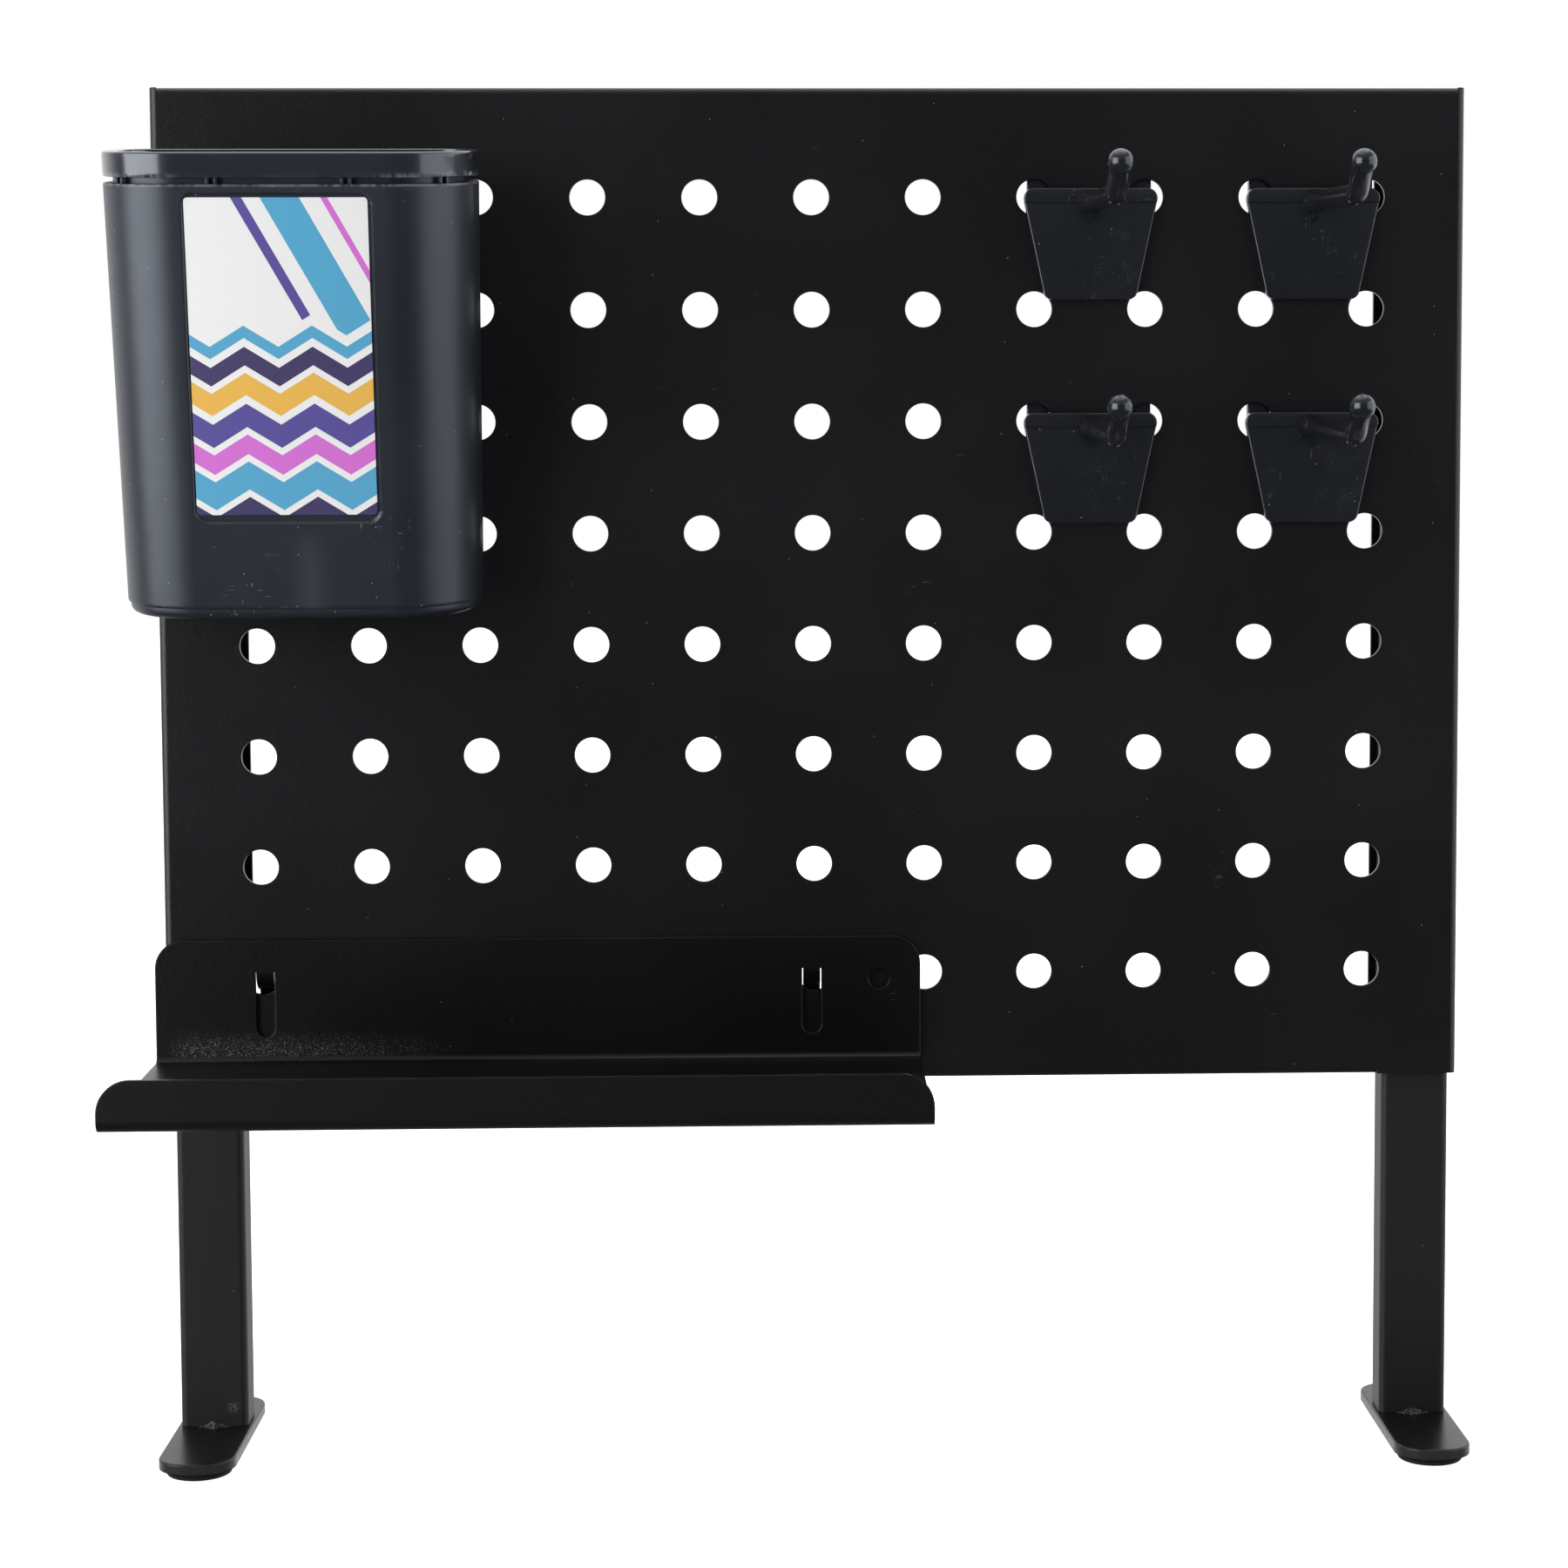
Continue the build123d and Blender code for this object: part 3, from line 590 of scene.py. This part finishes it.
spacer_half = 0.35
spacer_deep = 2.5
spacer_x = 14.0
spacer_step = 0.85
spacer_in = 0.5
spacer_corner = 0.12
spacer_edge = 0.05
spacer_sunk = 0.1
spacer_corners = [(-spacer_half, -spacer_deep), (spacer_half, -spacer_deep),
                  (spacer_half, 0), (-spacer_half, 0)]
spacer = rounded(spacer_corners, [spacer_corner] * 4, 4)
top_share = shoulder / cup_height
shoulder_half = cup_half + side_draft * top_share
shoulder_depth = cup_depth + front_draft * top_share
ribs = []
for side in (-1, 1):
    on_front_wall = (spacer_x * side, spacer_in - shoulder_depth, 180, 0.0)
    on_rear_wall = (spacer_x * side, -spacer_in, 0, 0.0)
    on_corner = ((shoulder_half - front_round) * side, front_round - shoulder_depth, 180 + 45 * side,
                 front_round - spacer_in)
    for x, y, turn, reach in (on_front_wall, on_rear_wall, on_corner):
        angle = math.radians(turn)
        for step in (-spacer_step, spacer_step):
            local = spacer + (step, reach)
            spun = np.stack([local[:, 0] * math.cos(angle) - local[:, 1] * math.sin(angle) + x,
                             local[:, 0] * math.sin(angle) + local[:, 1] * math.cos(angle) + y], axis=1)
            points, faces = prism(spun, shoulder - spacer_sunk, collar_bottom, spacer_edge, axis=2)
            ribs.append((lean(points), faces))

body_points, body_faces = skin(rows)
shapes = [(lean(body_points), body_faces)] + ribs
# Each prong starts inside the rear wall, on a web that runs down the wall below it
tilt = math.tan(cup_lean)
cup_prong_under = -2.72
web_half = 1.2
web_front = -1.2
web_foot = -17.0
wall_y = -cup_gap - cup_hang * tilt - cup_wall / 2
web_y = -cup_gap - (cup_hang + web_foot) * tilt - cup_wall / 2
web_corners = [(wall_y, 0.0), (web_front, 0.0), (web_y, web_foot), (wall_y, web_foot)]
web_outline = rounded(web_corners, [0.2, 0.4, 0.2, 0.2]) + (board_front, first_row)
for x in cup_columns:
    shapes.append(prong_at(x, first_row, wall_y, cup_prong_under))
    shapes.append(prism(web_outline, x - web_half, x + web_half, prong_edge, axis=0))


def moulded_plastic(name, dark, light, roughness, wear, coat):
    """Moulded plastic: cloudy sheen, fine level lines from the mould, short straight scratches, scuffs and
    dust in patches, paler along a flash line and along a painted sheen. More wear widens the patches with
    scratches and scuffs."""
    cool = (0.80, 0.87, 1.0, 1)
    scratched = (0.3, 0.31, 0.33, 1)
    flash_and_sheen_pale = (0.22, 0.23, 0.25, 1)
    dusty = (0.5, 0.5, 0.5, 1)
    material, shader, place = new_finish(name, Specular_IOR_Level=1.0, Specular_Tint=cool, Coat_Weight=coat,
                                         Coat_Roughness=0.1)
    cloud = place.noise(30.0, 3.0)
    fine = place.noise(2500.0)
    level = place.stretch(0.02, 0.02, 1.0).noise(2600.0)
    upright = place.stretch(2600.0, 2600.0, 210.0).noise(1.0, 1.0).ramp(0.70, 0.76)
    cross = place.stretch(260.0, 260.0, 2600.0).noise(1.0, 1.0).ramp(0.72, 0.78)
    patch = place.noise(48.0).ramp(0.62 - wear, 0.72 - wear)
    scratch = patch * (upright + cross)
    scuff = place.noise(520.0, 5.0).ramp(0.56, 0.72) * place.noise(75.0).ramp(0.64 - wear, 0.8 - wear)
    dust = specks(place, size=0.009, radius=0.00014, share=0.35)
    edge = place.node("Attribute", {"attribute_name": "flash"}, {}, output=2)
    flow = place.node("Attribute", {"attribute_name": "flow"}, {}, output=2)
    ragged = edge * place.stretch(1.0, 0.2, 0.2).noise(900.0, 3.0).ramp(0.35, 0.6)
    colour = cloud.ramp(0.3, 0.7).mix(dark, light)
    colour = (0.3 * scratch + 0.12 * scuff).mix(colour, scratched)
    # Flash lines and the painted sheen take the same paler colour
    colour = (0.4 * ragged + 0.06 * flow).mix(colour, flash_and_sheen_pale)
    place.feed(shader.inputs["Base Color"], (0.7 * dust).mix(colour, dusty))
    place.feed(shader.inputs["Roughness"], roughness + 0.08 * cloud + 0.25 * scuff + 0.08 * level)
    waves = place.noise(45.0) + 0.02 * fine + 0.012 * level
    place.feed(shader.inputs["Normal"], bump(waves, strength=0.12 - 0.12 * coat, distance=0.002))
    return material, shader, place


def mark(piece, name, values):
    """Stores how far each point belongs to a flash line or to a painted sheen. Points past the list get none.
    """
    whole = np.zeros(len(piece.data.vertices), np.float32)
    whole[:values.size] = values.ravel()
    piece.data.attributes.new(name, "FLOAT", "POINT").data.foreach_set("value", whole)


cup_dark = (0.0062, 0.0083, 0.0126, 1)
cup_light = (0.0086, 0.0111, 0.0166, 1)
wide_crease = 40.0
cup_plastic = moulded_plastic("cup_plastic", cup_dark, cup_light, roughness=0.3, wear=0, coat=0)[0]
cup = new_piece("pen_cup", join(shapes), cup_plastic, "cup_body", "cup", wide_crease)
mark(cup, "flash", np.repeat(flash, rows.shape[1]))
# The front is painted a little paler along the sink mark: a painted sheen for the light streak down it
mark(cup, "flow", on_front * sink)

# Cup collar
# Moulded ring of the same plastic, polished brighter, pressed over the cup's neck with a shadow gap below.
# Its lower edge keeps a ragged line of flash from the mould.

collar_inset = 2.0
collar_seat = 95.5
rim_round = 0.6
ring_turn = np.linspace(0, np.pi / 2, 6)
ring_lower = [(collar_bottom, collar_inset), (collar_bottom, 0.25), (collar_bottom + 0.08, 0.07),
              (collar_bottom + 0.25, 0.0), (collar_bottom + 1.2, 0.0), (94.0, 0.0), (95.4, 0.0)]
ring_rim = np.stack([cup_height - rim_round * (1 - np.sin(ring_turn)),
                     rim_round * (1 - np.cos(ring_turn))], axis=1)
ring_inner = [(cup_height, 1.6), (cup_height, 2.8), (cup_height - 0.15, 3.1), (cup_height - 0.4, cup_wall),
              (collar_seat, cup_wall), (collar_seat, collar_inset)]
ring_profile = np.vstack([ring_lower, ring_rim, ring_inner])
collar_rows = cup_rings(ring_profile[:, 0], ring_profile[:, 1])
ring_points, ring_faces = skin(collar_rows, ring=True)
collar_dark = (0.0086, 0.0108, 0.0150, 1)
collar_light = (0.0112, 0.0138, 0.0190, 1)
collar_plastic = moulded_plastic("collar_plastic", collar_dark, collar_light, roughness=0.16, wear=-0.04,
                                 coat=0.7)[0]
collar = new_piece("cup_ring", (lean(ring_points), ring_faces), collar_plastic, "cup_collar", "cup",
                   wide_crease)
# The flash is faint along the middle of the front and grows towards the corners
faint_flash = 0.12
faint_half = 18.0
flash_growth = 8.0
collar_edge = 0.3
on_edge = (ring_profile[:, :1] < collar_bottom + collar_edge) & (ring_profile[:, 1:] < collar_edge)
flash = np.clip((np.abs(collar_rows[..., 0]) - faint_half) / flash_growth, faint_flash, 1)
mark(collar, "flash", on_edge * flash)

# Cup label
# Card printed in flat colours and laid in the recess of the cup's front.
# The print is a plain pattern of zigzag bands below and slanted stripes above.

label_half = np.array([19.15, 33.5])
label_width, label_height = 2 * label_half
label_middle = recess_middle + (-0.2, 0.4)
label_corner = 0.8
card_thickness = 0.3
card_edge = 0.06
card_outline = rounded(label_half * [(-1, -1), (1, -1), (1, 1), (-1, 1)], [label_corner] * 4)
card_points, card_faces = prism(card_outline, -card_thickness, 0.0, card_edge, axis=1)
card = card_points + (label_middle[0], recess_sink, label_middle[1])
card_y = card[:, 1] * math.cos(front_slope) - card[:, 2] * math.sin(front_slope) - cup_depth
card_z = card[:, 1] * math.sin(front_slope) + card[:, 2] * math.cos(front_slope)
upright_card = np.stack([card[:, 0], card_y, card_z], axis=1)

print_card, shader, place = new_finish("label_print", Roughness=0.42, Specular_IOR_Level=0.4)
across = place.node("UVMap", {"uv_map": "card"}, {}).axis(0) * label_width
upward = place.node("UVMap", {"uv_map": "card"}, {}).axis(1) * label_height
pale = (0.68, 0.68, 0.68, 1)
deep_purple = (0.036, 0.024, 0.108, 1)
violet = (0.068, 0.049, 0.265, 1)
sky_blue = (0.056, 0.305, 0.500, 1)
pink = (0.533, 0.114, 0.522, 1)
amber = (0.667, 0.374, 0.047, 1)
fibre_grey = (0.4, 0.4, 0.4, 1)
band_stops = [(0.0, deep_purple), (0.055, pale), (0.08, sky_blue), (0.17, pale), (0.195, pink), (0.255, pale),
              (0.28, violet), (0.355, pale), (0.38, amber), (0.45, pale), (0.475, deep_purple), (0.535, pale),
              (0.56, sky_blue), (0.6, pale)]
stripe_stops = [(0.0, pale), (0.4, pale), (0.62, violet), (0.65, pale), (0.7, sky_blue), (0.81, pale),
                (0.87, pink), (0.89, pale)]
zigzag_start = 3.0
zigzag_half = 7.2
zigzag_slope = 0.62
stripe_slope = 0.55
stripe_span = 75.0
print_split = 42.6
print_edge = 0.1
zigzag = upward + zigzag_slope * place.sum("PINGPONG", across + zigzag_start, zigzag_half)
slant = across + stripe_slope * upward
bands = place.node("ValToRGB", {"stops": band_stops}, {"Fac": zigzag * (1 / label_height)})
stripes = place.node("ValToRGB", {"stops": stripe_stops}, {"Fac": slant * (1 / stripe_span)})
ink = zigzag.ramp(print_split, print_split + print_edge).mix(bands, stripes)
fibre = place.noise(1800.0, 3.0)
place.feed(shader.inputs["Base Color"], (0.06 * fibre).mix(ink, fibre_grey))
place.feed(shader.inputs["Normal"], bump(fibre, strength=0.05, distance=0.0001))
label = new_piece("printed_card", (lean(upright_card), card_faces), print_card, "cup_label", "cup",
                  wide_crease)
corner_index = np.empty(len(label.data.loops), int)
label.data.loops.foreach_get("vertex_index", corner_index)
flat_place = (card_points[:, [0, 2]] + label_half) / (label_width, label_height)
label.data.uv_layers.new(name="card").data.foreach_set("uv", flat_place[corner_index].ravel())

# Peg hooks
# Four moulded plastic hooks: a plate that narrows downwards with a thicker bar along its top, two prongs
# in neighbouring holes, and a round arm over a small rib, turned up at its end into a ball.

plate_half = 15.5
plate_foot_half = 10.2
plate_foot = -23.0
bar_foot_half = 14.81
bar_foot = -1.5
plate_front = -2.3
plate_rear = -0.1
bar_front = -2.9
bar_rear = -0.5
hook_edge = 0.3
arm_root = np.array([-1.2, -1.1])
arm_elbow = np.array([-56.5, -4.5])
arm_tip = np.array([-64.0, 1.5])
elbow_round = 6.0
arm_radius = 2.2
root_wider = 0.3
root_taller = 0.5
blend_reach = 14.0
ball_radius = 2.65
ball_start = -1.47
mould_line_place = -0.4
mould_line_width = 0.12
mould_line_height = 0.07
rib_half = 0.7
rib_edge = 0.2
rib_foot = -6.7
rib_reach = -10.2
prong_spacing = 22.92
hook_prong_under = -1.46
plate_outline = rounded([(-plate_half, prong_top), (-plate_foot_half, plate_foot),
                         (plate_foot_half, plate_foot), (plate_half, prong_top)], [2.4, 2.2, 2.2, 2.4])
bar_outline = rounded([(-plate_half, prong_top), (-bar_foot_half, bar_foot),
                       (bar_foot_half, bar_foot), (plate_half, prong_top)], [2.2, 0.3, 0.3, 2.2])
rib_outline = rounded([arm_root, (arm_root[0], rib_foot), (rib_reach, arm_root[1])], [0.2, 0.3, 0.2])


def hook_arm():
    """Rings along a path that runs out, bends up through an arc and ends in a ball. At the root the ring is a
    rounded rectangle (a superellipse of power 4), which becomes a circle over the blend's reach. Also returns
    how far each point belongs to the mould's seam."""
    bend = rounded([arm_elbow, arm_tip, arm_root], [elbow_round, 0.01, 0.01], 15)[:15]
    reach = np.concatenate([[0, 1, 2, 3, 5, 7, 9, 11, 13, 14.5], np.linspace(17, 49, 12)])
    outward = (arm_elbow - arm_root) / np.linalg.norm(arm_elbow - arm_root)
    rise = (arm_tip - arm_elbow) / np.linalg.norm(arm_tip - arm_elbow)
    swell = np.linspace(ball_start, ball_radius, 26)
    line = np.vstack([arm_root + reach[:, None] * outward, bend, arm_tip + swell[:, None] * rise])
    heading = np.vstack([np.repeat(outward[None], len(reach), 0), np.gradient(bend, axis=0),
                         np.repeat(rise[None], len(swell), 0)])
    heading /= np.linalg.norm(heading, axis=1, keepdims=True)
    lift = np.stack([heading[:, 1], -heading[:, 0]], axis=1)
    mould_line = mould_line_height * np.exp(-((swell - mould_line_place) / mould_line_width) ** 2)
    ball = np.sqrt(np.maximum(ball_radius ** 2 - swell ** 2, 0.01)) + mould_line
    taper = np.clip(1 - reach / blend_reach, 0, 1)
    wide = np.concatenate([arm_radius + root_wider * taper, np.full(len(bend), arm_radius), ball])
    tall = np.concatenate([arm_radius + root_taller * taper, np.full(len(bend), arm_radius), ball])
    power = np.concatenate([2 / (2 + 2 * taper), np.ones(len(bend) + len(swell))])[:, None]
    turn = np.linspace(0, 2 * np.pi, 48, endpoint=False)
    sideways = wide[:, None] * np.sign(np.cos(turn)) * np.abs(np.cos(turn)) ** power
    upwards = tall[:, None] * np.sign(np.sin(turn)) * np.abs(np.sin(turn)) ** power
    rows = np.empty(sideways.shape + (3,))
    rows[..., 0] = sideways
    rows[..., 1:] = line[:, None] + upwards[..., None] * lift[:, None]
    mould_seam = (np.abs(np.cos(turn)) > 0.999) * np.ones((len(rows), 1))
    mould_seam[len(reach) + len(bend):] = 0
    return skin(rows), mould_seam


hook_dark = (0.0066, 0.0071, 0.0088, 1)
hook_light = (0.0090, 0.0097, 0.0120, 1)
hook_plastic, shader, place = moulded_plastic("hook_plastic", hook_dark, hook_light, roughness=0.14,
                                              wear=0.06, coat=0)
# Rubbing has left pale scuffs and fine hairlines on the lower right of each plate. They repeat every 50 mm,
# like the hooks.
scuff_pale = (0.3, 0.31, 0.33, 1)
scuff_right = 6.0
scuff_drop = 14.0
scuff_edge = 0.012
scuff_core = 0.002
worn_x = 0.001 * (board_middle + 2.5 * peg_pitch + scuff_right)
worn_z = 0.001 * (first_row - scuff_drop)
beside = place.sum("PINGPONG", place.axis(0) - worn_x, 0.001 * peg_pitch)
below = place.sum("PINGPONG", place.axis(2) - worn_z, 0.001 * peg_pitch)
worn = beside.ramp(scuff_edge, scuff_core) * below.ramp(scuff_edge, scuff_core)
scuffs = place.noise(3200.0, 4.0).ramp(0.54, 0.72) * place.noise(300.0, 3.0).ramp(0.5, 0.64)
hairs = place.stretch(3600.0, 1.0, 420.0).noise(1.0).ramp(0.68, 0.74)
tint(shader, 0.17 * worn * (scuffs + hairs), scuff_pale)
arm, mould_seam = hook_arm()
front = [arm,
         prism(plate_outline, plate_front, plate_rear, hook_edge, axis=1),
         prism(bar_outline, bar_front, bar_rear, hook_edge, axis=1),
         prism(rib_outline, -rib_half, rib_half, rib_edge, axis=0)]
for row, level in ((0, "upper"), (2, "lower")):
    for column, side in ((2.5, "left"), (4.5, "right")):
        middle = board_middle + column * peg_pitch
        height = first_row - row * peg_pitch
        shapes = [(points + (middle, board_front, height), faces) for points, faces in front]
        for half in (-0.5, 0.5):
            prong_x = middle + half * prong_spacing
            shapes.append(prong_at(prong_x, height, arm_root[0], hook_prong_under))
        spot = level + "_" + side
        hook = new_piece("moulded_hook_" + spot, join(shapes), hook_plastic, "peg_hook_" + spot,
                         "hook_" + spot, wide_crease)
        mark(hook, "flash", 0.35 * mould_seam)

# Studio
# A pale floor, a white surround that is bright behind and dim in front, and tall soft lights at both sides.
# The camera stands a little left of the middle and looks slightly down.

white = (1, 1, 1, 1)
floor_grey = (0.85, 0.85, 0.85, 1)
floor_unseen = (0.5, 0.5, 0.5, 1)
floor_corners = [(-4, -4, 0), (4, -4, 0), (4, 4, 0), (-4, 4, 0)]
floor_mesh = bpy.data.meshes.new("floor")
floor_mesh.from_pydata(floor_corners, [], [(0, 1, 2, 3)])
floor = bpy.data.objects.new("floor", floor_mesh)
bpy.context.scene.collection.objects.link(floor)
floor_paint, shader, place = new_finish("pale_floor", Base_Color=floor_grey, Emission_Strength=0.85,
                                        Specular_IOR_Level=0.1)
seen = place.node("LightPath", {}, {})
place.feed(shader.inputs["Emission Color"], seen.mix(floor_unseen, white))
place.feed(shader.inputs["Roughness"], 0.7 + 0.2 * place.noise(8.0))
floor_mesh.materials.append(floor_paint)
floor.visible_glossy = False

world = bpy.data.worlds.new("surround")
bpy.context.scene.world = world
world.use_nodes = True
surround = Shade(world.node_tree)
direction = surround.node("TexCoord", {}, {})
behind = direction.axis(1).ramp(-0.1, 0.6) * (0.15 + 0.85 * direction.axis(2).ramp(-0.8, -0.2))
above = direction.axis(2).ramp(0.05, 0.9)
glow = 0.06 + behind + 0.3 * above
# The camera sees plain white, and all else is lit by the glow
seen = surround.node("LightPath", {}, {})
background = world.node_tree.nodes["Background"]
surround.feed(background.inputs["Strength"], seen + (1 - seen) * glow)
surround.feed(background.inputs["Color"], white)


def soft_light(name, place, target, width, height, power):
    """Rectangular light turned to face a point, not seen by the camera."""
    data = bpy.data.lights.new(name, "AREA")
    data.shape = "RECTANGLE"
    data.size = width
    data.size_y = height
    data.energy = power
    light = bpy.data.objects.new(name, data)
    bpy.context.scene.collection.objects.link(light)
    towards = np.array(target) - np.array(place)
    heading = math.atan2(towards[1], towards[0])
    dip = math.atan2(towards[2], math.hypot(towards[0], towards[1]))
    light.location = place
    light.rotation_euler = (math.pi / 2 + dip, 0, heading - math.pi / 2)
    light.visible_camera = False


lit_point = (-0.11, 0, 0.25)
soft_light("left_softbox", (-1.17, -0.77, 0.4), lit_point, width=1.38, height=1.2, power=18.4)
soft_light("right_softbox", (1.15, -0.315, 0.4), lit_point, width=1.7, height=1.2, power=8.5)
soft_light("overhead", (0.0, 0.1, 1.7), (0, 0, 0.2), width=1.6, height=1.6, power=7.0)

# The camera's place is given from the middle of the board's front and the desk
camera_aside = -8.94
camera_away = 721.73
camera_height = 219.40
camera_turn = [85.940, 0.196, -1.670]
camera_data = bpy.data.cameras.new("camera")
camera_data.lens = 73.41
camera_data.sensor_width = 36.0
camera_data.shift_x = -0.0524
camera_data.shift_y = -0.0472
camera = bpy.data.objects.new("camera", camera_data)
bpy.context.scene.collection.objects.link(camera)
camera_place = np.array([board_middle + camera_aside, board_front - camera_away, camera_height])
camera.location = 0.001 * camera_place
camera.rotation_euler = np.radians(camera_turn)
bpy.context.scene.camera = camera
bpy.context.scene.view_settings.view_transform = "Standard"
